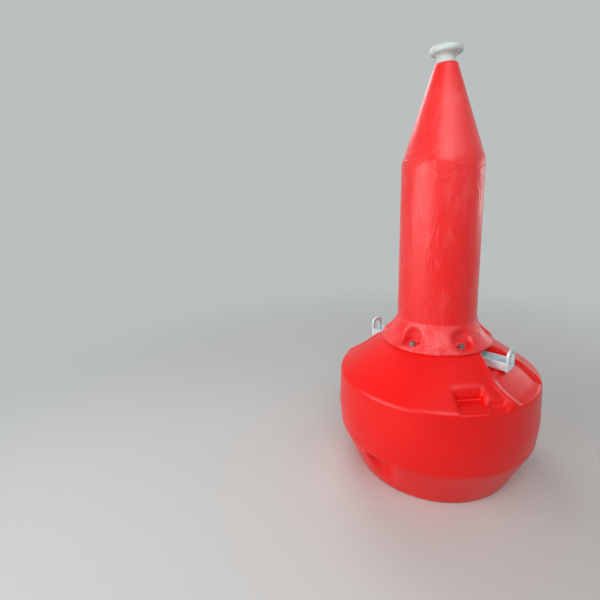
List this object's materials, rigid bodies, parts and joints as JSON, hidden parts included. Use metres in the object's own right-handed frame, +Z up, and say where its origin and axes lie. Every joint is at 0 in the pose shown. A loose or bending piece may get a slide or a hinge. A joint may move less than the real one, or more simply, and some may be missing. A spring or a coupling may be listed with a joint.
{
  "type": "navigation buoy",
  "caption": "Moulded harbour buoy: foam-filled float, tapered bolted tower with lamp base, crossbar with lifting eyes, and a mooring rod with its eye below.",
  "frame": {"origin": "centre of the float's flat bottom, on the floor it stands on", "axes": "+Z up along the tower's axis, +X along the crossbar to one lifting eye, +Y across it"},
  "size_m": [0.9, 0.8998, 1.8],
  "materials": {
    "moulded_red": "semi-gloss rotomoulded polyethylene",
    "galvanised_steel": "hot-dip galvanised",
    "cast_ballast": "bitumen-coated cast iron",
    "white_nylon": "satin moulded nylon"
  },
  "bodies": {
    "root": {"float": "moulded_red", "crossbar": "galvanised_steel", "lifting_eyes": "galvanised_steel", "mooring_rod": "galvanised_steel", "rod_washer": "galvanised_steel", "rod_nut": "galvanised_steel", "ballast_disc": "cast_ballast", "tower": "moulded_red", "tower_bolts": "galvanised_steel", "lamp_base": "white_nylon"}
  },
  "joints": []
}
